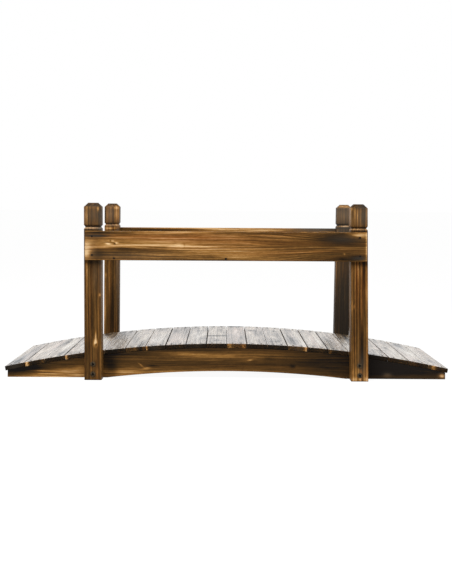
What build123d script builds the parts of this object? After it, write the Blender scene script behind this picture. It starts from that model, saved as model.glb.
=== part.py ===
from build123d import *
import os
from math import asin, cos, degrees, sin

# Arched garden footbridge, all sizes in millimetres.
# X runs along the bridge, Y across the walkway, Z up from the ground.

# Side stringers: flat feet at both ends, bowed on top, hollowed below
stringer_length = 1504.0
stringer_thickness = 28.0
stringer_end_height = 22.5
stringer_crown_height = 102.5
arch_span = 820.0
arch_rise = 24.0

# Deck planks, laid across the stringers and square to the bow
plank_count = 22
plank_thickness = 16.0
plank_gap = 2.4
plank_edge_radius = 2.0
plank_end_clearance = 1.0
deck_width = 560.0
deck_overhang = 11.0

# Posts, bolted to the outer faces of the stringers
post_size = 58.0
post_height = 600.0
front_post_spacing = 903.0
back_post_spacing = 909.0
post_edge_radius = 2.0
cap_bevel = 13.5
neck_drop = 82.0
neck_height = 13.0
neck_depth = 4.6

# The posts aren't quite plumb: how far a head stands off from its foot along the bridge
front_post_lean = -5.5
back_right_post_lean = 10.0

# Rail boards, on the outer faces of the posts
rail_height = 98.5
rail_thickness = 19.0
rail_drop = 95.0
rail_end_setback = 4.0
rail_edge_radius = 2.5

# Bow of the deck, through the two ends and the crown of a stringer
bow_rise = stringer_crown_height - stringer_end_height
bow_radius = ((stringer_length / 2) ** 2 + bow_rise ** 2) / (2 * bow_rise)
bow_center_z = stringer_crown_height - bow_radius

# Planks share the bow evenly, with the same gap between neighbours
deck_half_length = stringer_length / 2 + deck_overhang
deck_half_angle = asin(deck_half_length / (bow_radius + plank_thickness))
deck_run = 2 * deck_half_angle * bow_radius
plank_width = (deck_run - (plank_count - 1) * plank_gap) / plank_count
plank_pitch_angle = (plank_width + plank_gap) / bow_radius
plank_length = deck_width - 2 * plank_end_clearance

# Rows of pieces on either side of the walkway
stringer_outer_y = deck_width / 2
post_center_y = stringer_outer_y + post_size / 2
post_outer_y = stringer_outer_y + post_size
rail_center_z = post_height - rail_drop - rail_height / 2

sides = {"front": -1, "back": 1}
ends = {"left": -1, "right": 1}
post_spacings = {"front": front_post_spacing, "back": back_post_spacing}
post_leans = {
    "front_left": front_post_lean,
    "front_right": front_post_lean,
    "back_left": 0,
    "back_right": back_right_post_lean,
}


def make_stringer(label, side):
    half_length = stringer_length / 2
    half_arch = arch_span / 2
    face_y = side * stringer_outer_y
    with BuildPart() as stringer:
        with BuildSketch(Plane.XZ.offset(-face_y)):
            with BuildLine():
                Line((-half_length, 0), (-half_arch, 0))
                ThreePointArc((-half_arch, 0), (0, arch_rise), (half_arch, 0))
                Line((half_arch, 0), (half_length, 0))
                Line((half_length, 0), (half_length, stringer_end_height))
                ThreePointArc(
                    (half_length, stringer_end_height),
                    (0, stringer_crown_height),
                    (-half_length, stringer_end_height),
                )
                Line((-half_length, stringer_end_height), (-half_length, 0))
            make_face()
        extrude(amount=side * stringer_thickness)
    stringer.part.label = label
    export_step(stringer.part, f"parts/{label}.step")


def make_plank(label, angle):
    middle = (bow_radius * sin(angle), 0, bow_center_z + bow_radius * cos(angle))
    along = (cos(angle), 0, -sin(angle))
    section_plane = Plane(origin=middle, x_dir=along, z_dir=(0, -1, 0))
    with BuildPart() as plank:
        with BuildSketch(section_plane) as section:
            Rectangle(plank_width, plank_thickness, align=(Align.CENTER, Align.MIN))
            fillet(section.vertices(), radius=plank_edge_radius)
        extrude(amount=plank_length / 2, both=True)
    plank.part.label = label
    export_step(plank.part, f"parts/{label}.step")


def post_x(side_name, end_name, height):
    foot_x = ends[end_name] * post_spacings[side_name] / 2
    return foot_x + post_leans[side_name + "_" + end_name] * height / post_height


def make_post(label, side_name, end_name):
    # Heights from the foot up, each with the inset of the post at that height
    neck_z = post_height - neck_drop
    levels = [
        (0, 0),
        (neck_z - neck_height / 2, 0),
        (neck_z, neck_depth),
        (neck_z + neck_height / 2, 0),
        (post_height - cap_bevel, 0),
        (post_height, cap_bevel),
    ]
    center_y = sides[side_name] * post_center_y
    with BuildPart() as post:
        for height, inset in levels:
            with BuildSketch(Plane.XY.offset(height)):
                with Locations((post_x(side_name, end_name, height), center_y)):
                    breadth = post_size - 2 * inset
                    RectangleRounded(breadth, breadth, post_edge_radius)
        loft(ruled=True)
    post.part.label = label
    export_step(post.part, f"parts/{label}.step")


def make_rail(label, side_name):
    side = sides[side_name]
    left_x = post_x(side_name, "left", rail_center_z)
    right_x = post_x(side_name, "right", rail_center_z)
    rail_length = right_x - left_x + post_size - 2 * rail_end_setback
    with BuildPart() as rail:
        with BuildSketch(Plane.XZ.offset(-side * post_outer_y)):
            with Locations(((left_x + right_x) / 2, rail_center_z)):
                Rectangle(rail_length, rail_height)
        extrude(amount=-side * rail_thickness)
        outer_face = rail.faces().sort_by(Axis.Y)[-1 if side > 0 else 0]
        fillet(outer_face.edges(), radius=rail_edge_radius)
    rail.part.label = label
    export_step(rail.part, f"parts/{label}.step")


os.makedirs("parts", exist_ok=True)

for side_name, side in sides.items():
    make_stringer(side_name + "_stringer", side)
    make_rail(side_name + "_rail", side_name)
    for end_name in ends:
        make_post(side_name + "_" + end_name + "_post", side_name, end_name)

for number in range(1, plank_count + 1):
    steps_from_crown = number - (plank_count + 1) / 2
    make_plank(f"deck_plank_{number:02d}", steps_from_crown * plank_pitch_angle)

print("plank width", round(plank_width, 2), "tilt at the ends", round(degrees(deck_half_angle), 2))
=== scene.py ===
import math
import random

import bmesh
import bpy
from mathutils import Matrix, Vector, noise


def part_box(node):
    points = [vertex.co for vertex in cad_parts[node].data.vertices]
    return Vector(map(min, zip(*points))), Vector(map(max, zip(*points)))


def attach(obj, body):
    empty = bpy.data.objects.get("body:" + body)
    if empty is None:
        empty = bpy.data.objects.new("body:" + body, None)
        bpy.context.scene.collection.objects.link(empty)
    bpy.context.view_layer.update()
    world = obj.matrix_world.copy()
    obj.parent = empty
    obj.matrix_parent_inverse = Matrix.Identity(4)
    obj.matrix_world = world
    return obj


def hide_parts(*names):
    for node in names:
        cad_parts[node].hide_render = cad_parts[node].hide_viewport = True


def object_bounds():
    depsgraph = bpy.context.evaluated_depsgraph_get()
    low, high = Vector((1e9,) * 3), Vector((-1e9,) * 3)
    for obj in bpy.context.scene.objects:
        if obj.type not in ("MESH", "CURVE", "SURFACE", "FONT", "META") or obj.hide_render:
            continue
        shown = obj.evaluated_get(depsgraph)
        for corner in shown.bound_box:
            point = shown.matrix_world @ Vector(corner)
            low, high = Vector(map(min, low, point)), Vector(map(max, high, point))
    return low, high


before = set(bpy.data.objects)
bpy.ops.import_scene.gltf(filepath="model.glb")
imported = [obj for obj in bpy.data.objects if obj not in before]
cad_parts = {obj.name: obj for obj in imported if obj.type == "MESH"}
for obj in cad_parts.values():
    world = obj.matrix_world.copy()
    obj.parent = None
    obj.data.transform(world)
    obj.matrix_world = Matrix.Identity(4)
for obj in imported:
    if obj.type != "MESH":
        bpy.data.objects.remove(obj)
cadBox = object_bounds()
mm = 0.001
print("frame loaded,", len(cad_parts), "timbers")


def linear(hexColour):  # sRGB hex to the linear values that shaders take
    channels = [int(hexColour[i:i + 2], 16) / 255 for i in (1, 3, 5)]
    return [c / 12.92 if c <= 0.04045 else ((c + 0.055) / 1.055) ** 2.4 for c in channels] + [1.0]


def addNode(tree, kind, sockets=None, stops=None, **settings):
    node = tree.nodes.new("ShaderNode" + kind)
    for name, value in settings.items():
        setattr(node, name, value)
    for key, value in (sockets or {}).items():
        if isinstance(value, bpy.types.NodeSocket):
            tree.links.new(value, node.inputs[key])
        else:
            node.inputs[key].default_value = value
    if stops:  # a new ramp has two stops of its own, which become the first and the last
        hair = 0.001  # stops nearer than this are one
        ramp = node.color_ramp.elements
        ramp[0].position = stops[0][0]
        ramp[1].position = stops[-1][0]
        for place, hexColour in stops:
            stop = next((e for e in ramp if abs(e.position - place) < hair), None) or ramp.new(place)
            stop.color = linear(hexColour)
    return node


def newMaterial(name):
    material = bpy.data.materials.new(name)
    material.use_nodes = True
    material.node_tree.nodes.clear()
    return material, material.node_tree


# Scorched fir: softwood boards burnt with a torch, brushed along the grain and oiled.
# The eye sees honey to black-brown tones in long thin lines, dark year rings and a low satin gloss.
def scorchedFir(name, look):
    material, tree = newMaterial(name)
    grain = addNode(tree, "Attribute", attribute_name="grainCo").outputs["Vector"]
    scorch = addNode(tree, "Attribute", attribute_name="scorch").outputs["Fac"]
    ash = addNode(tree, "Attribute", attribute_name="ash").outputs["Fac"]
    ember = addNode(tree, "Attribute", attribute_name="ember").outputs["Fac"]
    tone = scorch
    # bands of heat, fibres (drawn coarser than real ones so that they show) and smoky mottling
    layers = {}
    for layer in ("streak", "fibre", "mottle"):
        width, stretch, share, detail = look[layer]
        drawn = addNode(tree, "VectorMath", {0: grain, 1: (stretch, 1.0, 1.0)}, operation="MULTIPLY")
        pattern = addNode(tree, "TexNoise", {"Vector": drawn.outputs[0], "Scale": 1 / (width * mm),
                                             "Detail": detail, "Roughness": look["patternRough"]})
        centred = addNode(tree, "Math", {0: pattern.outputs["Fac"], 1: -0.5}, operation="ADD")
        layers[layer] = centred.outputs[0]
        mixed = addNode(tree, "Math", {0: layers[layer], 1: share, 2: tone}, operation="MULTIPLY_ADD")
        tone = mixed.outputs[0]
    # year rings about the pith
    ringWidth, stretch, share, wander = look["ring"]
    waveFactor = 20  # the wave texture multiplies its scale by this
    detail, detailScale, detailRough = look["ringDetail"]
    drawn = addNode(tree, "VectorMath", {0: grain, 1: (stretch, 1.0, 1.0)}, operation="MULTIPLY").outputs[0]
    ring = addNode(tree, "TexWave", {"Vector": drawn, "Scale": 2 * math.pi / (waveFactor * ringWidth * mm),
                                     "Distortion": wander, "Detail": detail, "Detail Scale": detailScale,
                                     "Detail Roughness": detailRough},
                   wave_type="RINGS", rings_direction="X", wave_profile="SAW").outputs["Fac"]
    centred = addNode(tree, "Math", {0: ring, 1: -0.5}, operation="ADD").outputs[0]
    tone = addNode(tree, "Math", {0: centred, 1: share, 2: tone}, operation="MULTIPLY_ADD").outputs[0]
    wood = addNode(tree, "ValToRGB", {"Fac": tone}, look["tones"]).outputs["Color"]
    # patches where the oil has gone redder, then a grey film where the weather got in, which along the
    # posts' edges is painted sheen
    blushWidth, share = look["blush"]
    blushLow, blushHigh = look["blushSpan"]
    blush = addNode(tree, "TexNoise", {"Vector": drawn, "Scale": 1 / (blushWidth * mm),
                                       "Detail": look["blushDetail"]})
    blushFac = addNode(tree, "MapRange", {"Value": blush.outputs["Fac"], "From Min": blushLow,
                                          "From Max": blushHigh, "To Min": 0.0, "To Max": share}).outputs[0]
    blushFac = addNode(tree, "Math", {0: blushFac, 1: ember}, operation="ADD", use_clamp=True).outputs[0]
    wood = addNode(tree, "Mix", {0: blushFac, 6: wood, 7: linear(look["blushTint"])},
                   data_type="RGBA", blend_type="MULTIPLY").outputs[2]
    wood = addNode(tree, "Mix", {0: ash, 6: wood, 7: linear(look["ashTint"])}, data_type="RGBA").outputs[2]
    smoothTone, roughTone = look["roughSpan"]
    rough = addNode(tree, "MapRange", {"Value": tone, "From Min": smoothTone, "From Max": roughTone,
                                       "To Min": look["smooth"], "To Max": look["rough"]}).outputs[0]
    relief = addNode(tree, "Math", {0: layers["fibre"], 1: ring}, operation="ADD").outputs[0]
    bump = addNode(tree, "Bump", {"Height": relief, "Strength": look["reliefShare"],
                                  "Distance": look["relief"] * mm}).outputs["Normal"]
    shader = addNode(tree, "BsdfPrincipled", {"Base Color": wood, "Roughness": rough, "Normal": bump,
                                              "Specular IOR Level": look["gloss"], "IOR": look["ior"],
                                              "Coat Weight": look["oil"],
                                              "Coat Roughness": look["oilRough"], "Coat Normal": bump})
    if look["oil"] > 0:  # char drinks the oil, so the darkest wood shines less
        oil = addNode(tree, "MapRange", {"Value": tone, "From Min": look["charFrom"],
                                         "From Max": look["charTo"], "To Min": look["oil"],
                                         "To Max": look["oil"] * look["charOil"]})
        tree.links.new(oil.outputs[0], shader.inputs["Coat Weight"])
    addNode(tree, "OutputMaterial", {"Surface": shader.outputs["BSDF"]})
    return material


# Each pattern is (width across the grain in mm, stretch, share of the tone, detail or wander);
# a stretch of 0.02 draws it out fifty times as long as it is wide
firLook = {
    "streak": (16.0, 0.03, 0.22, 2.0), "fibre": (3.2, 0.02, 0.8, 2.0), "mottle": (4.0, 0.2, 0.22, 2.0),
    "ring": (8.0, 0.03, 0.2, 5.0), "ringDetail": (2.0, 1.0, 0.55), "patternRough": 0.6,
    "blush": (30.0, 0.3), "blushDetail": 1.0, "blushSpan": (0.45, 0.7), "blushTint": "#C98A62",
    "tones": [(0.0, "#EFCB98"), (0.15, "#CFA36C"), (0.3, "#A7783E"), (0.42, "#7F592C"), (0.54, "#5F4220"),
              (0.66, "#483218"), (0.78, "#322312"), (0.9, "#1F170E"), (1.0, "#120E0B")],
    "ashTint": "#8F8272", "smooth": 0.4, "rough": 0.6, "roughSpan": (0.2, 1.0), "gloss": 0.05, "ior": 1.5,
    "oil": 0.0, "oilRough": 0.3, "relief": 0.8, "reliefShare": 0.5,
}
postTimber = dict(firLook, streak=(12.0, 0.035, 0.35, 2.0), fibre=(3.6, 0.025, 0.62, 3.0), blush=(9.0, 0.3))
stringerTimber = dict(firLook, streak=(14.0, 0.035, 0.25, 2.0), fibre=(3.4, 0.025, 0.48, 2.0),
                      ring=(8.0, 0.03, 0.13, 5.0), blush=(30.0, 0.12),
                      tones=firLook["tones"][:5] + [(0.66, "#4C351A"), (0.78, "#3B2A16"), (0.9, "#2A1F13"),
                                                    (1.0, "#161210")])
# The deck has been brushed deeper and carries a full coat of oil, so seen flat it shines nearly white
deckTimber = dict(firLook, streak=(20.0, 0.05, 0.7, 2.0), fibre=(3.6, 0.022, 1.2, 3.0),
                  mottle=(12.0, 0.13, 0.75, 3.0), blush=(45.0, 0.5), ashTint="#8B949E",
                  gloss=0.5, smooth=0.35, rough=0.5, oil=1.0, oilRough=0.24, relief=5.0, reliefShare=1.0,
                  charFrom=0.6, charTo=1.0, charOil=0.35,
                  tones=[(0.0, "#F2EADC"), (0.2, "#D2C3AC"), (0.4, "#A08C70"), (0.55, "#6E5C44"),
                         (0.7, "#463828"), (0.85, "#2A2118"), (1.0, "#14110E")])
postFir = scorchedFir("scorchedFirPost", postTimber)
railFir = scorchedFir("scorchedFirRail", firLook)
stringerFir = scorchedFir("scorchedFirStringer", stringerTimber)
deckFir = scorchedFir("scorchedFirDeck", deckTimber)
sawnFir = scorchedFir("scorchedFirSawn", dict(firLook, gloss=0.03, smooth=0.6, rough=0.7))  # dry


# Zinc on the bolts and screws, blackened with a broad soft highlight, and on the washers, gone dull brown
def agedZinc(name, look):
    material, tree = newMaterial(name)
    where = addNode(tree, "TexCoord").outputs["Object"]
    mottle = addNode(tree, "TexNoise", {"Vector": where, "Scale": 1 / (look["mottle"] * mm),
                                        "Detail": look["detail"]})
    colour = addNode(tree, "ValToRGB", {"Fac": mottle.outputs["Fac"]}, look["tones"]).outputs["Color"]
    rough = addNode(tree, "MapRange", {"Value": mottle.outputs["Fac"], "To Min": look["smooth"],
                                       "To Max": look["rough"]}).outputs[0]
    shader = addNode(tree, "BsdfPrincipled", {"Base Color": colour, "Roughness": rough,
                                              "Metallic": look["metal"],
                                              "Specular IOR Level": look["gloss"]})
    addNode(tree, "OutputMaterial", {"Surface": shader.outputs["BSDF"]})
    return material


zincLook = {"mottle": 3.0, "detail": 2.0, "metal": 0.1, "smooth": 0.45, "rough": 0.7, "gloss": 0.1,
            "tones": [(0.3, "#060505"), (0.7, "#171514")]}
zinc = agedZinc("blackenedZinc", zincLook)
dullZinc = agedZinc("dullZinc", dict(zincLook, mottle=4.0, metal=0.5,
                                     tones=[(0.3, "#2E261D"), (0.7, "#63543F")]))
print("materials ready")


def divide(bm, cells):  # cuts every straight run into cells of about one size, in mm for each axis
    straight = 0.999  # how nearly an edge follows the axis
    shortest = 1.5  # cells, below which a run is left whole
    for axis, cell in enumerate(cells):
        runs = {}
        for edge in bm.edges:
            along = edge.verts[1].co - edge.verts[0].co
            if abs(along[axis]) > straight * along.length and along.length > shortest * cell * mm:
                runs.setdefault(round(along.length / mm / cell) - 1, []).append(edge)
        for cuts, edges in runs.items():
            bmesh.ops.subdivide_edges(bm, edges=edges, cuts=cuts, use_grid_fill=True)


def easedBlock(size, ease, cells):
    bm = bmesh.new()
    bmesh.ops.create_cube(bm, size=1.0)
    bmesh.ops.scale(bm, vec=size, verts=bm.verts)
    bmesh.ops.bevel(bm, geom=bm.edges[:], offset=ease * mm, segments=2, profile=0.5,
                    affect='EDGES', material=-1)
    divide(bm, cells)
    return bm


# A mark is (along, across, half length, half width, amount, slope), in mm from the board's middle;
# the slope lets a streak run off the level
markReach = 3  # half sizes, past which a mark has faded out


def soak(marks, along, across):
    total = 0.0
    for mark in marks:
        du = (along - mark[0]) / mark[2]
        rise = mark[5] * (along - mark[0]) if len(mark) > 5 else 0.0
        da = (across - mark[1] - rise) / mark[3]
        if abs(du) < markReach and abs(da) < markReach:
            total += mark[4] * math.exp(-du * du - da * da)
    return total


# What the torch does to any board: sizes in mm along, across and into it, shares of the tone, and
# steps that keep the patterns of two boards apart
torchLook = {
    "waveSize": (220, 70, 70), "cloudSize": (300, 35, 50), "cloud": 0.08, "cloudStep": 1.7,
    "seedStep": (7.31, 3.17, 1.93), "grainStep": 3.7, "knotLong": 3.5, "knotWide": 1.8,
    "shade": 0.65, "faceShade": 0.35, "endShare": 0.8, "filmMost": 0.8,
}


def cloud(place, sizes, shift):
    return noise.noise(Vector([p / (size * mm) for p, size in zip(place, sizes)]) + shift)


def film(marks, fade, along, across):
    return min(max(fade * soak(marks, along / mm, across / mm), 0.0), torchLook["filmMost"])


# Paints what the torch did to a board, above zero is darker, and keeps the grain's own coordinates:
# along, across and into the board from its middle
def paintBoard(bm, axes, look):
    grainCo = bm.verts.layers.float_vector.new("grainCo")
    scorch = bm.verts.layers.float.new("scorch")
    ash = bm.verts.layers.float.new("ash")
    ember = bm.verts.layers.float.new("ember")
    seed = Vector([look["seed"] * step for step in torchLook["seedStep"]])
    halfLong = max(v.co[axes[0]] for v in bm.verts)
    halfDeep = max(v.co[axes[2]] for v in bm.verts)
    sawnFrom = halfLong - look["ease"] * torchLook["endShare"] * mm
    fanFrom, fanReach, fanShare = look.get("fan", (0.0, 1.0, 0.0))  # lines that draw together
    for v in bm.verts:
        place = [v.co[axis] for axis in axes]
        along, across, into = place
        wave = cloud(place, torchLook["waveSize"], seed) * look["wave"] * mm
        tone = look["scorch"]
        tone += torchLook["cloud"] * cloud(place, torchLook["cloudSize"], seed * torchLook["cloudStep"])
        bent = across * (1 + fanShare * min(max((along / mm - fanFrom) / fanReach, 0.0), 1.0) ** 2)
        for knotAlong, knotAcross, size in look["knots"]:  # the grain parts round a knot
            du = (along / mm - knotAlong) / (size * torchLook["knotLong"])
            da = (across / mm - knotAcross) / (size * torchLook["knotWide"])
            bent -= (across - knotAcross * mm) * math.exp(-du * du - da * da)
        # strongest on the face that was torched first
        fade = torchLook["shade"] + torchLook["faceShade"] * look["face"] * into / halfDeep
        tone += fade * soak(look["marks"], along / mm, across / mm)
        if abs(along) > sawnFrom:  # sawn end, which takes up more heat
            tone += look["endScorch"]
        v[grainCo] = Vector((along + look["seed"] * torchLook["grainStep"],
                             bent + wave + look["pith"][0] * mm, into + look["pith"][1] * mm))
        v[scorch] = tone
        v[ash] = film(look["film"], fade, along, across)
        v[ember] = film(look.get("ember", []), fade, along, across)


def addPiece(name, bm, materials, node=None):
    bmesh.ops.recalc_face_normals(bm, faces=bm.faces)
    mesh = bpy.data.meshes.new(name)
    bm.to_mesh(mesh)
    bm.free()
    mesh.shade_smooth()
    for material in materials:
        mesh.materials.append(material)
    piece = bpy.data.objects.new(name, mesh)
    bpy.context.scene.collection.objects.link(piece)
    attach(piece, "root")
    if node:
        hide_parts(node)


# Deck planks, laid square to the bow
plankLook = {
    "ease": 2, "cells": (4, 8, 4), "wave": 3, "face": 0, "scorch": 0.47, "toneSpread": 0.08,
    "endFade": 0.07, "firstSeed": 100, "seeds": (1, 40), "pithAcross": (-20, 20), "pithDeep": (15, 60),
    "knots": [], "film": [(-279, 0, 3, 90, 0.035)], "screwInset": 20, "screwSpread": 15,
    # water stains and brushed patches, as marks that chance picks within these spans
    "patches": 6, "patch": ((-270, 270), (-30, 30), (20, 110), (4, 22), (-0.45, 0.45)),
    # black runs of water from the screws: how far past them, half length, half width, most tone
    "run": (20, 16, 4, 0.75),
    "endScorch": 0.44, "paleEnds": {7: 0.29, 12: 0.17, 15: 0.31, 17: 0.42},
    # joints that have swollen nearly shut and hold pale dust, by the plank on their left: how far
    "dusty": {2: 1.0, 5: 0.9, 6: 0.5, 7: 0.7, 9: 0.35, 11: 1.0, 12: 0.2, 13: 1.1, 17: 0.5, 20: 0.2,
              21: 0.9},
    "dustAsh": 0.65, "dustScorch": -0.45, "dustInset": 9, "swell": 0.8,
    "edgeAsh": 0.12, "edgeScorch": 0.2, "edgeShare": 0.3, "faceUp": 0.5, "roundUp": 0.2,
    # bruised corners of the front ends, which show raw wood: place across the end, half width, tone
    "chipLong": 4,
    "chips": {2: [(-27, 8, -1.3), (29, 6, -0.35)], 4: [(-30, 6, -1.2)], 8: [(-31, 5, -1.1)],
              12: [(-25, 7, -0.4), (22, 7, -0.4)], 15: [(29, 6, -0.7)], 17: [(-27, 5, -0.6)],
              22: [(-17, 11, -0.8)]},
    # stains and rubbed places on the walked-on face
    "stains": {
        1: [(-200, -10, 90, 24, 0.6), (120, 8, 120, 10, 0.4)],
        2: [(60, 10, 120, 20, -0.25)],
        3: [(-190, 12, 70, 12, 0.6), (120, -12, 90, 14, 0.5)],
        4: [(-215, -20, 30, 8, 0.7), (40, 10, 180, 22, -0.25)],
        # the marks at the far ends of planks 5 and 6 are painted shade at the foot of the back left post
        5: [(215, -8, 100, 28, 0.6)],
        6: [(60, 0, 160, 26, 0.4), (240, -16, 50, 22, 0.5)],
        7: [(40, -22, 150, 10, 0.5), (-180, 14, 90, 14, 0.4)],
        8: [(0, 0, 220, 30, -0.2), (-225, -12, 40, 20, 0.45), (230, 0, 50, 30, 0.25)],
        9: [(130, -20, 70, 8, 0.55), (150, 6, 110, 26, 0.2), (-120, 8, 120, 22, -0.2)],
        10: [(-20, 0, 200, 26, -0.45), (205, 6, 12, 26, 0.4)],
        11: [(-45, 0, 10, 60, 1.6), (-100, 0, 14, 50, -0.3), (-190, 4, 24, 26, 0.35),
             (120, 6, 90, 16, 0.25)],
        12: [(265, 0, 17, 40, 1.4), (-80, 22, 70, 9, 0.45), (40, -4, 120, 16, -0.25)],
        13: [(135, -10, 22, 14, 1.0), (-60, 4, 110, 20, -0.4), (60, 18, 60, 8, 0.3)],
        14: [(150, 4, 20, 16, 0.7), (-180, -4, 36, 12, 0.5), (-215, 8, 16, 9, -0.6),
             (90, 0, 140, 22, 0.2)],
        15: [(20, -8, 220, 5, 0.3), (-170, -10, 70, 16, 0.3), (40, 14, 200, 10, -0.25)],
        16: [(-40, 0, 160, 26, -0.2)],
        17: [(20, -14, 80, 14, 0.35), (-90, 14, 140, 18, -0.3)],
        18: [(160, 4, 110, 26, 0.45)],
        20: [(170, 16, 80, 16, 0.5)],
        21: [(190, -6, 70, 24, 0.6), (-20, 8, 40, 14, -0.5), (-220, 8, 40, 18, 0.6)],
        22: [(-100, -6, 140, 18, 0.2)]},
    # planks whose oil has bloomed bluish: middle along, half length, share
    "bloomWide": 24,
    "bloom": {1: (-120, 150, 0.4), 4: (-60, 160, 0.3), 8: (-120, 120, 0.35), 10: (0, 180, 0.35),
              12: (0, 120, 0.25), 15: (-140, 120, 0.3), 17: (0, 120, 0.4), 21: (120, 120, 0.4)},
}
plankNodes = sorted(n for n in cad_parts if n.startswith("deck_plank"))
plankBoxes = [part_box(n) for n in plankNodes]
plankMiddles = [(low + high) / 2 for low, high in plankBoxes]
plankTilts = [0.0] * len(plankNodes)
for i in range(1, len(plankNodes) - 1):  # the bow's slope, from the planks on either side
    step = plankMiddles[i + 1] - plankMiddles[i - 1]
    plankTilts[i] = -math.atan2(step.z, step.x)
plankTilts[0] = 2 * plankTilts[1] - plankTilts[2]
plankTilts[-1] = 2 * plankTilts[-2] - plankTilts[-3]
plankSeats = []
plankSizes = []
for i, node in enumerate(plankNodes):
    number = i + 1
    rng = random.Random(plankLook["firstSeed"] + i)
    tilt = plankTilts[i]
    extent = plankBoxes[i][1] - plankBoxes[i][0]
    c = math.cos(tilt)
    s = abs(math.sin(tilt))
    width = (extent.x * c - extent.z * s) / (c * c - s * s)  # the box of a tilted board, solved back
    thick = (extent.z * c - extent.x * s) / (c * c - s * s)
    seat = Matrix.Translation(plankMiddles[i]) @ Matrix.Rotation(tilt, 4, 'Y')
    plankSeats.append(seat)
    plankSizes.append((width, extent.y, thick))
    halfLong = extent.y / 2 / mm
    marks = []
    for _ in range(plankLook["patches"]):
        marks.append([rng.uniform(low, high) for low, high in plankLook["patch"]])
    runPast, runLong, runWide, runTone = plankLook["run"]
    runPlace = halfLong - plankLook["screwInset"] - runPast
    for edge in (-1, 1):
        for end in (-1, 1):
            marks.append((end * runPlace, edge * plankLook["screwSpread"], runLong, runWide,
                          rng.uniform(0.0, 1.0) * runTone))
    marks += plankLook["stains"].get(number, [])
    for place, half, tone in plankLook["chips"].get(number, []):
        marks.append((-halfLong, place, plankLook["chipLong"], half, tone))
    bloomAlong, bloomLong, bloomShare = plankLook["bloom"].get(number, (0.0, 1.0, 0.0))
    look = dict(plankLook, marks=marks)
    look["film"] = plankLook["film"] + [(bloomAlong, 0, bloomLong, plankLook["bloomWide"], bloomShare)]
    look["seed"] = rng.uniform(*plankLook["seeds"])
    rubbed = plankLook["endFade"] * (plankMiddles[i].x / cadBox[1].x) ** 2  # paler at the bridge's ends
    spread = plankLook["toneSpread"]
    look["scorch"] = plankLook["scorch"] + rng.uniform(-spread, spread) - rubbed
    look["endScorch"] = plankLook["paleEnds"].get(number, plankLook["endScorch"]) + rubbed
    look["pith"] = (rng.uniform(*plankLook["pithAcross"]), rng.uniform(*plankLook["pithDeep"]))
    board = easedBlock((width, extent.y, thick), plankLook["ease"], plankLook["cells"])
    paintBoard(board, (1, 0, 2), look)
    scorch = board.verts.layers.float["scorch"]
    ash = board.verts.layers.float["ash"]
    edgeFrom = width / 2 / mm - plankLook["edgeShare"] * plankLook["ease"]
    for v in board.verts:
        across = v.co.x / mm
        if abs(across) > edgeFrom:  # the long edges burn first
            dust = plankLook["dusty"].get(number if across > 0 else number - 1, 0.0)
            if abs(v.co.y) > extent.y / 2 - plankLook["dustInset"] * mm:
                dust = 0.0
            v[scorch] += plankLook["edgeScorch"] * (1 - dust) + plankLook["dustScorch"] * dust
            v[ash] = plankLook["edgeAsh"] * (1 - dust) + plankLook["dustAsh"] * dust
            v.co.x += math.copysign(plankLook["swell"] * dust * mm, across)
    for face in board.faces:  # only the walked-on face is oiled, and the rounding of its long edges
        rounding = face.normal.z > plankLook["roundUp"] and abs(face.normal.y) < plankLook["roundUp"]
        face.material_index = 0 if face.normal.z > plankLook["faceUp"] or rounding else 1
    bmesh.ops.transform(board, matrix=seat, verts=board.verts)
    addPiece(f"plank{number:02d}", board, [deckFir, sawnFir], node)
print("deck laid,", len(plankNodes), "planks")


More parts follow.
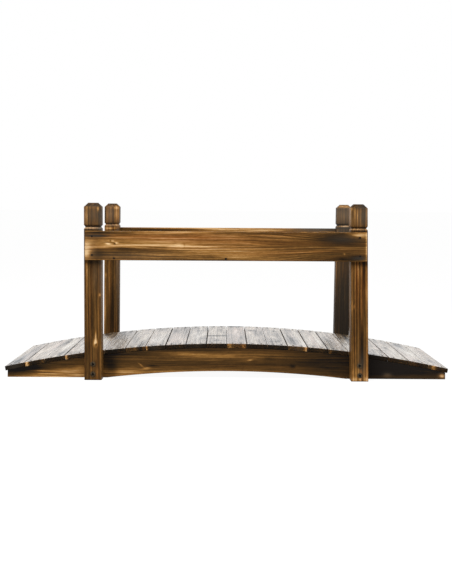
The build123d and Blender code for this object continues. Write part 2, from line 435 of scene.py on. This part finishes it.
# Side stringers, bowed above and hollowed below
stringerLook = {
    "ease": 1.5, "cells": (5, 7, 3), "wave": 4, "endScorch": 0.12,
    "archSpan": 820, "archRise": 24, "middle": 60, "blank": 100,
    # a band of painted shade under the planks, and a paler hem along the hollow
    "brow": 0.22, "browHeight": 6.5, "hem": -0.14, "hemHeight": 5,
    "front_stringer": {
        "seed": 3, "pith": (30, 40), "scorch": 0.56, "face": -1,
        "film": [(590, -20, 220, 70, 0.02), (553, -46, 14, 8, 0.12), (742, -48, 10, 8, 0.25)],
        "knots": [(-286, -20, 6), (82, 1, 5), (228, -18, 6)],
        "marks": [
            # soot and raw wood at the left end
            (-706, -30, 78, 10, 0.8), (-738, -47, 40, 8, 0.3), (-600, -56, 160, 5, -0.36),
            (-642, -37.5, 34, 3, -0.34), (-610, -44.5, 70, 2.4, 0.08), (-620, -48, 45, 2.4, -0.26),
            (-550, -41, 72, 8, -0.33), (-540, -17, 90, 8, 0.06), (-620, -24, 60, 8, 0.12),
            (-622, -41, 34, 2.6, -0.14), (-585, -54.6, 62, 2.2, 0.24), (-590, -59.5, 50, 2.4, -0.25),
            (-508, -50, 30, 4, -0.22), (-502, -24, 30, 10, -0.18), (-575, -31, 40, 4, -0.08),
            # either side of the left post, with painted shadow of the post on its right and painted shade
            # under the plank ends
            (-405, 8, 34, 40, 0.3), (-350, -40, 75, 8, -0.26), (-350, -43, 60, 3, -0.16),
            (-394, -26, 18, 20, 0.24), (-310, 20, 72, 6, 0.27), (-350, 13, 28, 7, 0.08),
            # gold above, smoke below, and a line of painted shade along the top under the planks
            (-40, 18, 215, 11, -0.18), (-127, 23, 70, 5, -0.14), (5, 16, 60, 5, -0.1),
            (20, -12, 260, 9, 0.11), (-40, -36, 220, 5, -0.08), (-70, 32, 200, 4.5, 0.13),
            (-120, 0, 170, 4, -0.08), (-45, 0, 30, 4, -0.06), (146, 10, 22, 14, 0.13),
            (250, 5, 60, 8, -0.09), (350, -29, 60, 8, 0.12),
            # knots
            (-295, -15.5, 9, 2.2, -0.42, -0.8), (-274, -27.5, 13, 2.4, -0.42, 0.1),
            (-254, -19, 16, 4, 0.25), (81, 2, 9, 2.4, -0.5, 0.15), (60, -0.5, 16, 2.2, -0.2),
            (227, -18.5, 9, 5, 0.32), (242, -18, 4, 6, -0.12),
            # the scorched right end with its bruise
            (300, -4, 110, 28, 0.24), (590, -20, 200, 70, 0.5), (-240, -5, 70, 30, 0.05),
            (553, -46, 14, 8, -0.26), (640, -52, 80, 8, -0.12), (505, -30, 30, 30, 0.1),
            (741, -48, 10, 8, -0.8)],
    },
    "back_stringer": {
        "seed": 11, "pith": (-30, 45), "scorch": 0.56, "face": 1, "film": [],
        "knots": [(-120, -8, 6), (310, 4, 7)],
        "marks": [
            (-600, -35, 140, 30, 0.25), (-150, 10, 260, 14, -0.16), (420, -20, 160, 30, 0.2),
            (-120, -8, 9, 5, 0.3), (310, 4, 9, 5, 0.3)],
    },
}


def circleThrough(crownZ, endX, endZ):  # radius and middle height of a bow from its crown and one end
    drop = crownZ - endZ
    radius = (endX ** 2 + drop ** 2) / (2 * drop)
    return radius, crownZ - radius


def heightOn(circle, x):
    radius, middleZ = circle
    return middleZ + math.sqrt(radius ** 2 - x ** 2)


endSeat = plankSeats[0] @ Vector((0, 0, -plankSizes[0][2] / 2))
bow = circleThrough(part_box("front_stringer")[1].z, endSeat.x, endSeat.z)
halfArch = stringerLook["archSpan"] / 2 * mm
arch = circleThrough(stringerLook["archRise"] * mm, halfArch, 0)
for node in ("front_stringer", "back_stringer"):
    low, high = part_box(node)
    look = dict(stringerLook, **stringerLook[node])
    blank = look["blank"] * mm
    middle = look["middle"] * mm
    board = easedBlock((high.x - low.x, high.y - low.y, blank), look["ease"], look["cells"])
    for v in board.verts:  # the straight blank takes the two curves
        share = v.co.z / blank + 0.5
        foot = heightOn(arch, v.co.x) if abs(v.co.x) < halfArch else 0.0
        v.co.z = foot + share * (heightOn(bow, v.co.x) - foot) - middle
    paintBoard(board, (0, 2, 1), look)
    scorch = board.verts.layers.float["scorch"]
    for v in board.verts:  # painted shade just under the planks, rubbed wood along the hollow
        height = v.co.z + middle
        under = (heightOn(bow, v.co.x) - height) / (look["browHeight"] * mm)
        v[scorch] += look["brow"] * math.exp(-under * under)
        if abs(v.co.x) < halfArch:
            above = (height - heightOn(arch, v.co.x)) / (look["hemHeight"] * mm)
            v[scorch] += look["hem"] * math.exp(-above * above)
    bmesh.ops.translate(board, vec=(0, (low.y + high.y) / 2, middle), verts=board.verts)
    addPiece("stringer" + node.split("_")[0].capitalize(), board, [stringerFir], node)
print("stringers bowed, radius", round(bow[0], 3))


# Rail boards
railLook = {
    "face": -1, "ease": 2.5, "cells": (5, 6, 2.4), "wave": 4.5, "endScorch": 0.4,
    "front_rail": {
        "seed": 5, "pith": (-12, 38), "scorch": 0.34, "fan": (0, 480, 1.5),
        "ember": [(-120, 33, 200, 12, 0.3), (170, 38, 120, 8, 0.2)],
        "film": [
            (-438, 33, 44, 6, 0.12), (450, -38, 26, 6, 0.12), (395, 26, 60, 14, 0.08),
            (-468, -10, 26, 30, 0.14), (-300, -34, 150, 12, 0.08)],
        "knots": [(-388, 13, 4), (-158, 4, 3.5)],
        "marks": [
            # soot and raw wood at the left end
            (-434, 44.5, 52, 3.4, 0.62), (-438, 33, 44, 5.4, 0.6), (-350, 43, 60, 4, 0.2),
            (-470, -18, 14, 18, -0.38), (-462, 8, 34, 10, -0.07), (-470, 3, 16, 5, -0.24),
            (-472, -31, 12, 5, -0.24), (-440, 14, 16, 9, 0.1), (-480, 0, 3, 60, 0.35),
            # the pale grain line with its two knots
            (-430, -4, 70, 3, -0.2), (-330, 0, 70, 2.5, -0.27), (-337, 28, 60, 5, -0.08),
            (-235, 3, 60, 2.5, -0.28), (-320, 7, 60, 2.5, 0.14), (-345, -8, 45, 3, 0.2),
            (-300, 21, 110, 3, -0.16), (-235, -7, 45, 3, 0.2), (-120, -15, 50, 4, -0.12),
            (-155, 0, 40, 2.6, -0.34), (-85, -1, 55, 2.5, -0.34), (-162, 2.5, 14, 3, -0.18),
            (-396, 6.5, 9, 3.4, -0.5), (-383, 15, 6, 2.8, -0.3), (-370, 10, 7, 2.8, -0.5),
            (-388, 17, 3, 2.6, 0.4), (-375, 7, 3, 2.6, 0.55), (-140, 1.5, 2.5, 7, 0.14),
            # smoke below it
            (-360, -15, 50, 8, 0.1), (-430, -20, 22, 12, 0.24), (-430, -39, 28, 9, 0.16),
            (-375, -28, 80, 8, 0.21), (-290, -16, 90, 6, 0.24), (-200, -16, 80, 3, 0.16),
            (-250, -36, 170, 12, 0.12), (-120, -47, 260, 2.6, 0.26), (-170, -31.5, 60, 2.6, -0.14),
            (-165, -38, 60, 3, 0.18),
            # the red line under the top edge, then fine lines right of the middle
            (-330, 37, 60, 3, 0.18, 0.06), (-190, 42, 100, 3.5, 0.08), (30, 41, 170, 3, 0.22),
            (-34, 28, 60, 4, 0.14), (-170, 16, 60, 5, -0.08), (0, -11, 80, 6, -0.12),
            (110, 47, 160, 3.4, 0.16), (-200, 12.5, 130, 4, -0.08), (-220, 36, 60, 3, -0.1),
            (20, 36, 40, 3, -0.1), (200, -25, 170, 6, 0.03), (110, -2, 80, 2.6, -0.14),
            (30, -25, 90, 6, 0.08), (140, 26, 40, 5, -0.06), (300, 30, 40, 6, -0.1),
            (405, -4, 60, 10, -0.12), (60, 4, 120, 30, -0.035), (290, -40, 60, 8, 0.14),
            (-55, -37, 45, 6, 0.2), (40, -38, 30, 6, -0.08), (85, 9, 50, 2.4, -0.14, -0.1),
            (145, 19, 40, 2.4, -0.12), (296, -13, 140, 2.4, -0.16, 0.067),
            (150, -14, 90, 2.4, -0.1, 0.03), (60, -28, 70, 8, -0.08),
            # the scorched right end
            (210, 0, 130, 70, 0.1), (330, 28, 75, 12, 0.22), (385, 42, 40, 7, 0.22),
            (400, 20, 60, 16, 0.24), (400, -10, 120, 60, 0.33), (385, 0, 30, 5, -0.1),
            (456, 41, 26, 5, -0.32), (440, 38.5, 26, 3, -0.24, -0.15), (449, 30, 4, 3, 0.3),
            (400, -41, 34, 5, 0.34), (446, -37, 24, 7, 0.46), (398, -24, 3, 3, -0.4),
            (476, 0, 4, 60, -0.6),
            # burnt round the screws
            (-451, -31, 5, 5, 0.1), (-375, -43, 5, 5, 0.12), (1, -43, 5, 5, 0.12)],
    },
    "back_rail": {
        "seed": 8, "pith": (20, 42), "scorch": 0.44,
        "film": [(360, 46, 110, 12, 0.35)],
        "knots": [(-210, -12, 6), (260, 18, 5)],
        "marks": [
            (-300, 39, 190, 8, 0.27), (-60, 48, 90, 6, -0.26), (150, 40, 130, 10, -0.3),
            (380, 48, 90, 8, 0.42), (-220, 50, 130, 5, -0.3), (-50, 39, 80, 6, -0.16),
            (-120, -10, 200, 14, -0.12), (380, -10, 120, 30, 0.22), (-210, -12, 9, 5, 0.3),
            (260, 18, 9, 5, 0.3)],
    },
}
for node in ("front_rail", "back_rail"):
    low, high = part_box(node)
    board = easedBlock(high - low, railLook["ease"], railLook["cells"])
    paintBoard(board, (0, 2, 1), dict(railLook, **railLook[node]))
    bmesh.ops.translate(board, vec=(low + high) / 2, verts=board.verts)
    addPiece("rail" + node.split("_")[0].capitalize(), board, [railFir], node)
print("rails set")


# Posts: a square shaft drawn up through a V neck to a bevelled cap, three of them a little out of plumb
postLook = {
    "face": -1, "ease": 2, "cells": (2.6, 2.6, 4.5), "wave": 3, "endScorch": 0,
    "neckDrop": 82, "neckHeight": 13, "neckDepth": 4.6, "capBevel": 13.5, "facetSteps": 3,
    # the neck's upper facet, facing down, is painted dark as shade and its lower one, facing up, painted
    # pale as light; a darker line runs just above the rail, painted shadow lies under the rail, and soot
    # gathers round the bolts
    "turned": [
        (215, 0, 2.6, 90, -0.3), (220.3, 0, 2.8, 90, 0.42), (209, 0, 2.6, 90, 0.45), (100, 0, 7, 90, 0.2),
        (-246.5, 0, 9, 9, 0.2), (-280, 0, 9, 9, 0.2)],
    # In each post's film and marks, the rings from along 196 to 222 deepen or soften the neck's painted
    # shade and painted light, and the pale grey lines along the side edges are painted sheen
    "front_left_post": {
        "lean": -5.5, "seed": 2, "pith": (-12, 45), "scorch": 0.56, "knots": [(-176, 9, 4)],
        "film": [
            (262, 6, 34, 30, 0.16), (130, 27, 140, 6, 0.2), (60, 8, 60, 9, 0.08), (215, 0, 2.6, 90, 0.5),
            (258, -24, 30, 5, 0.12)],
        "marks": [
            (60, -19, 110, 3, -0.2), (258, -22, 28, 6, -0.32), (258, -13, 28, 2.6, -0.03),
            (215, 22, 4, 10, 0.3), (258, 13, 30, 3, 0.14), (258, 24, 30, 5, 0.16),
            (279, 19.5, 8, 2.8, -0.55), (70, 0, 60, 6, 0.14), (-60, 2, 80, 5, 0.1),
            (-60, 19, 100, 2.5, -0.2), (25, -3, 45, 2.5, -0.16), (-12, 24, 5, 3, -0.45),
            (-60, -27, 200, 2.5, 0.12),
            # the flame-shaped knot
            (-174.5, 9, 12, 6, -0.75), (-152, 9.5, 14, 2.4, -0.5), (-180, 10.5, 3.6, 2.4, 0.9),
            (-130, -12, 40, 3, -0.12), (-218, 10, 24, 2.5, -0.22), (-225, 26, 75, 2.5, -0.28),
            (-275, 12, 18, 8, -0.14), (-215, -18, 60, 9, 0.06), (293, 0, 8, 90, 0.24),
            (284, 0, 4, 60, -0.15), (255, 0, 34, 90, 0.08), (215, 0, 2.6, 90, -0.2),
            (40, 12, 130, 5, 0.12), (-230, 12, 50, 5, 0.1), (60, -6, 110, 6, -0.09),
            (95, -22, 50, 6, -0.08), (-150, -22, 30, 6, -0.08), (-180, 24, 110, 5, 0.08)],
    },
    "front_right_post": {
        "lean": -5.5, "seed": 6, "pith": (8, 40), "scorch": 0.545, "knots": [(-47, -20, 4)],
        "film": [
            (262, 10, 34, 26, 0.2), (262, -29.5, 40, 3, 0.36), (60, -29.5, 160, 2, 0.2),
            (-245, 8, 40, 12, 0.12), (262, 27, 34, 5, 0.3), (215, 0, 2.6, 90, 0.2)],
        "ember": [(0, -8, 130, 9, 0.45), (30, 12, 120, 10, 0.35)],
        "marks": [
            (0, -26.5, 330, 3, -0.1), (60, -20.5, 260, 2.6, 0.1), (0, -14.5, 330, 2.6, -0.18),
            (40, -9.5, 260, 2.4, 0.12), (0, -4, 330, 2.6, -0.2), (20, 1, 300, 2.2, 0.1),
            (0, 6.5, 330, 2.8, -0.12), (90, 15, 130, 3.5, 0.26), (-185, 7.5, 85, 5.5, 0.36),
            (95, -10, 40, 18, -0.12), (95, 23, 40, 6, 0.1), (-230, 7, 45, 7, 0.16),
            (-110, -22, 90, 8, 0.1), (-80, -8, 90, 8, 0.12), (3, 22, 30, 6, -0.12), (-90, 22, 30, 6, 0.1),
            (-230, 24, 40, 6, -0.12), (0, 25, 330, 4, -0.2), (-275, 0, 26, 30, -0.22),
            (-47, -20, 8, 4, -0.3), (-292, 1, 6, 3, -0.55), (262, 14, 34, 8.5, 0.22),
            (293, 0, 8, 90, 0.28), (262, -15, 30, 2.8, -0.22), (262, -6, 30, 2.8, -0.2),
            (-294, -18, 8, 9, -0.36), (-294, 22, 8, 7, -0.34), (262, 2, 30, 3, -0.12),
            (262, 27, 30, 4, -0.14), (262, -29.5, 40, 2.4, -0.3), (60, 0, 110, 30, -0.06),
            (221.5, 0, 3.2, 90, -0.15), (286, -24, 7, 5, -0.3)],
    },
    "back_left_post": {
        "lean": 0, "seed": 9, "pith": (10, 45), "scorch": 0.58, "knots": [],
        "film": [(262, -6, 34, 20, 0.25), (100, 24, 200, 6, 0.2), (215, 0, 2.6, 90, 0.3)],
        "marks": [
            (0, -24, 330, 6, -0.18), (-60, 2, 250, 9, 0.18), (60, 24, 200, 5, -0.06),
            (20, 0, 60, 14, -0.12), (-170, -18, 60, 10, 0.12), (258, 20, 30, 9, -0.4),
            (258, -16, 30, 9, -0.15), (256, -28, 34, 3, 0.2), (201, -8, 2.8, 24, -0.55),
            (297, 0, 4, 90, 0.2), (-150, 2, 70, 10, 0.15), (-140, 26, 80, 4, 0.15),
            (-140, -24, 80, 5, -0.12), (258, 0, 30, 5, -0.16), (220.3, 0, 2.8, 90, -0.3),
            (208, 0, 4, 90, -0.35), (196, 20, 2.6, 14, 0.2), (283, 20, 6, 5, -0.25),
            (20, -22, 8, 5, -0.16), (283, 12, 5, 20, -0.24)],
    },
    "back_right_post": {
        "lean": 10, "seed": 13, "pith": (-14, 50), "scorch": 0.84, "knots": [],
        "film": [
            (265, 0, 40, 60, 0.28), (0, 0, 400, 90, 0.08), (200, 0, 18, 60, 0.12),
            (215, 4, 2.6, 18, 0.45)],
        "marks": [
            (294, 0, 6, 90, -0.6), (255, 0, 32, 60, -0.2), (215, 4, 2.6, 18, -0.65),
            (60, -2, 60, 60, -0.18), (-150, 0, 80, 60, 0.14), (60, -27, 260, 3, -0.3)],
    },
}


def postBlock(breadth, height, look):
    neckZ = height - look["neckDrop"] * mm
    neckHalf = look["neckHeight"] / 2 * mm
    steps = look["facetSteps"]  # rings on each slope, so that the painted shade and painted light on it have an edge
    levels = [(neckZ - neckHalf, 0.0)]
    for k in range(1, steps + 1):
        levels.append((neckZ - neckHalf * (1 - k / steps), look["neckDepth"] * k / steps))
    for k in range(1, steps + 1):
        levels.append((neckZ + neckHalf * k / steps, look["neckDepth"] * (1 - k / steps)))
    for k in range(steps + 1):
        levels.append((height - look["capBevel"] * mm * (1 - k / steps), look["capBevel"] * k / steps))
    bm = bmesh.new()
    strips = round(breadth / mm / look["cells"][0])
    bmesh.ops.create_grid(bm, x_segments=strips, y_segments=strips, size=breadth / 2)
    top = bm.faces[:]
    current = breadth
    for level, inset in levels:  # each stretch is drawn up from the one below
        grown = bmesh.ops.extrude_face_region(bm, geom=top)
        rim = [g for g in grown["geom"] if isinstance(g, bmesh.types.BMVert)]
        bmesh.ops.translate(bm, vec=(0, 0, level - rim[0].co.z), verts=rim)
        wanted = breadth - 2 * inset * mm
        bmesh.ops.scale(bm, vec=(wanted / current, wanted / current, 1), verts=rim)
        inner = [f for f in top if f.is_valid and f.calc_center_median().z > 0]
        bmesh.ops.delete(bm, geom=inner, context='FACES')
        current = wanted
        top = [g for g in grown["geom"] if isinstance(g, bmesh.types.BMFace)]
    slack = 0.01 * mm  # a corner lies on the diagonal to within this
    corners = [v for v in bm.verts if abs(abs(v.co.x) - abs(v.co.y)) < slack]
    upright = {e for v in corners for e in v.link_edges if abs(e.verts[1].co.z - e.verts[0].co.z) > slack}
    bmesh.ops.bevel(bm, geom=list(upright), offset=look["ease"] * mm, segments=2, profile=0.5,
                    affect='EDGES', material=-1)
    return bm


postSpots = {}  # foot and lean of each post, for its bolts
for node in sorted(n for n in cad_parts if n.endswith("_post")):
    low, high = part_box(node)
    look = dict(postLook, **postLook[node])
    look["marks"] = look["marks"] + look["turned"]
    height = high.z - low.z
    lean = look["lean"] * mm
    reach = lean * (1 - look["capBevel"] * mm / height)  # the box ends where the cap's bevel starts
    board = postBlock(high.x - low.x - abs(reach), height, look)
    bmesh.ops.translate(board, vec=(0, 0, -height / 2), verts=board.verts)
    divide(board, look["cells"])
    paintBoard(board, (2, 0, 1), look)
    footX = (low.x + high.x - reach) / 2
    for v in board.verts:
        v.co.x += lean * (v.co.z / height + 0.5)
    bmesh.ops.translate(board, vec=(footX, (low.y + high.y) / 2, low.z + height / 2), verts=board.verts)
    postSpots[node] = (footX, lean / height)
    name = "post" + "".join(word.capitalize() for word in node.split("_")[:2])
    addPiece(name, board, [postFir], node)
print("posts stood up")


# Screws and bolts, sizes in mm
headTaper = 0.82  # a head's face is this share of its foot


def pressHead(bm, place, radius, height, socket, dip, sides=20):
    crown = radius * headTaper * mm
    middle = place @ Matrix.Translation((0, 0, height * mm / 2))
    made = bmesh.ops.create_cone(bm, cap_ends=True, segments=sides, radius1=radius * mm, radius2=crown,
                                 depth=height * mm, matrix=middle)
    caps = {f for v in made["verts"] for f in v.link_faces if len(f.verts) == sides}
    top = max(caps, key=lambda f: (place.inverted() @ f.calc_center_median()).z)
    bmesh.ops.inset_region(bm, faces=[top], thickness=crown - socket * mm)
    bmesh.ops.translate(bm, vec=place.to_3x3() @ Vector((0, 0, -height * dip * mm)), verts=top.verts)


screwLook = {"radius": 3.8, "height": 1.0, "socket": 1.8, "dip": 0.3, "proud": 0.5, "sides": 12}
deckScrews = bmesh.new()
for seat, (width, length, thick) in zip(plankSeats, plankSizes):
    outBy = length / 2 - plankLook["screwInset"] * mm
    sunk = thick / 2 + (screwLook["proud"] - screwLook["height"]) * mm
    for end in (-1, 1):
        for edge in (-1, 1):
            spot = Matrix.Translation((edge * plankLook["screwSpread"] * mm, end * outBy, sunk))
            pressHead(deckScrews, seat @ spot, screwLook["radius"], screwLook["height"],
                      screwLook["socket"], screwLook["dip"], screwLook["sides"])
addPiece("deckScrews", deckScrews, [zinc])

# radius, thickness and opening of a bolt's rim, washer and head
boltLook = {"heights": (20.0, 53.5), "dip": 0.6,
            "rim": (9.0, 0.8, 7.0), "washer": (7.0, 1.4, 4.0), "head": (4.0, 4.0, 2.2)}
railScrewLook = {"radius": 3.9, "sunk": 0.8, "dip": 0.1, "inset": 18.0,
                 "edgeInset": 7.0, "edgePlaces": (-377.0, 0.0)}
postWashers = bmesh.new()
postBolts = bmesh.new()
railScrews = bmesh.new()
for side, sideName in ((-1, "front"), (1, "back")):
    outward = Matrix.Rotation(-side * math.pi / 2, 4, 'X')
    railLow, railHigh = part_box(sideName + "_rail")
    railFace = (railLow.y if side < 0 else railHigh.y) - side * railScrewLook["sunk"] * mm
    spots = [((railLow.x + railHigh.x) / 2 + place * mm, railLow.z + railScrewLook["edgeInset"] * mm)
             for place in railScrewLook["edgePlaces"]]
    for endName in ("left", "right"):
        node = sideName + "_" + endName + "_post"
        low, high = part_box(node)
        footX, slope = postSpots[node]
        postFace = low.y if side < 0 else high.y
        for height in boltLook["heights"]:
            place = Matrix.Translation((footX + slope * height * mm, postFace, height * mm)) @ outward
            for pile, ring in ((postWashers, "rim"), (postWashers, "washer"), (postBolts, "head")):
                pressHead(pile, place, *boltLook[ring], boltLook["dip"])
        for height in (railLow.z + railScrewLook["inset"] * mm, railHigh.z - railScrewLook["inset"] * mm):
            spots.append((footX + slope * height, height))
    for x, z in spots:
        pressHead(railScrews, Matrix.Translation((x, railFace, z)) @ outward, railScrewLook["radius"],
                  screwLook["height"], screwLook["socket"], railScrewLook["dip"])
addPiece("postWashers", postWashers, [dullZinc])
addPiece("postBolts", postBolts, [zinc])
addPiece("railScrews", railScrews, [zinc])
print("fasteners in")


# Floor, light and camera
# The share for what the eye or a reflection sees directly, and nothing for the light that it casts
def seenPlainly(tree, share):
    path = addNode(tree, "LightPath").outputs
    seen = addNode(tree, "Math", {0: path["Is Camera Ray"], 1: path["Is Glossy Ray"]}, operation="ADD")
    seen = addNode(tree, "Math", {0: seen.outputs[0], 1: path["Is Transmission Ray"]}, operation="ADD")
    seen = addNode(tree, "Math", {0: seen.outputs[0], 1: share}, operation="MULTIPLY", use_clamp=True)
    return seen.outputs[0]


floorLook = {"size": 400.0, "gap": 0.2, "tint": "#C4C4C2", "glow": 1.18, "glowShare": 0.8}


# Matt paper sweep: it glows white, and keeps enough of its own shade to carry the shadow
def whiteFloor():
    material, tree = newMaterial("paleFloor")
    matt = addNode(tree, "BsdfDiffuse", {"Color": linear(floorLook["tint"])})
    glow = addNode(tree, "Emission", {"Color": linear("#FFFFFF"), "Strength": floorLook["glow"]})
    both = addNode(tree, "MixShader", {0: seenPlainly(tree, floorLook["glowShare"]),
                                       1: matt.outputs[0], 2: glow.outputs[0]})
    addNode(tree, "OutputMaterial", {"Surface": both.outputs[0]})
    return material


floorMesh = bmesh.new()
bmesh.ops.create_grid(floorMesh, x_segments=1, y_segments=1, size=floorLook["size"] / 2,
                      matrix=Matrix.Translation((0, 0, cadBox[0].z - floorLook["gap"] * mm)))
mesh = bpy.data.meshes.new("floor")
floorMesh.to_mesh(mesh)
floorMesh.free()
mesh.materials.append(whiteFloor())
floor = bpy.data.objects.new("floor", mesh)
bpy.context.scene.collection.objects.link(floor)

# places and sizes in metres, power in watts
lightLook = {"sky": 0.40, "backdrop": 1.0, "aim": (0, 0, 0.25),
             "keyLamp": {"place": (-0.9, -2.0, 3.4), "size": 2.6, "power": 120.0},
             "fillLamp": {"place": (2.6, -2.2, 2.2), "size": 2.4, "power": 25.0}}
world = bpy.data.worlds.new("studio")
bpy.context.scene.world = world
world.use_nodes = True
sky = world.node_tree
sky.nodes.clear()
dome = addNode(sky, "Background", {"Color": linear("#FFFFFF"), "Strength": lightLook["sky"]})
white = addNode(sky, "Background", {"Color": linear("#FFFFFF"), "Strength": lightLook["backdrop"]})
both = addNode(sky, "MixShader", {0: seenPlainly(sky, 1.0), 1: dome.outputs[0], 2: white.outputs[0]})
addNode(sky, "OutputWorld", {"Surface": both.outputs[0]})

for name in ("keyLamp", "fillLamp"):
    look = lightLook[name]
    lamp = bpy.data.lights.new(name, "AREA")
    lamp.shape = "DISK"
    lamp.size = look["size"]
    lamp.energy = look["power"]
    stand = bpy.data.objects.new(name, lamp)
    stand.location = look["place"]
    toAim = Vector(lightLook["aim"]) - Vector(look["place"])
    stand.rotation_euler = toAim.to_track_quat('-Z', 'Y').to_euler()
    bpy.context.scene.collection.objects.link(stand)

# place in metres, roll in radians, sensor in mm
cameraLook = {"place": (-0.0088, -4.035, 0.585), "roll": 0.0058, "sensor": 36.0,
              "focalPx": 1092.8, "middlePx": (224.8, 207.9), "framePx": (452, 584)}
camera = bpy.data.cameras.new("photoCamera")
frameWide, frameHigh = cameraLook["framePx"]
camera.sensor_width = cameraLook["sensor"]
camera.lens = cameraLook["focalPx"] * cameraLook["sensor"] / frameHigh
camera.shift_x = (frameWide / 2 - cameraLook["middlePx"][0]) / frameHigh
camera.shift_y = (cameraLook["middlePx"][1] - frameHigh / 2) / frameHigh
stand = bpy.data.objects.new("photoCamera", camera)
stand.matrix_world = (Matrix.Translation(cameraLook["place"]) @ Matrix.Rotation(math.pi / 2, 4, 'X')
                      @ Matrix.Rotation(cameraLook["roll"], 4, 'Z'))
bpy.context.scene.collection.objects.link(stand)
bpy.context.scene.camera = stand
bpy.context.scene.view_settings.view_transform = "Standard"

print("light, floor and camera set")
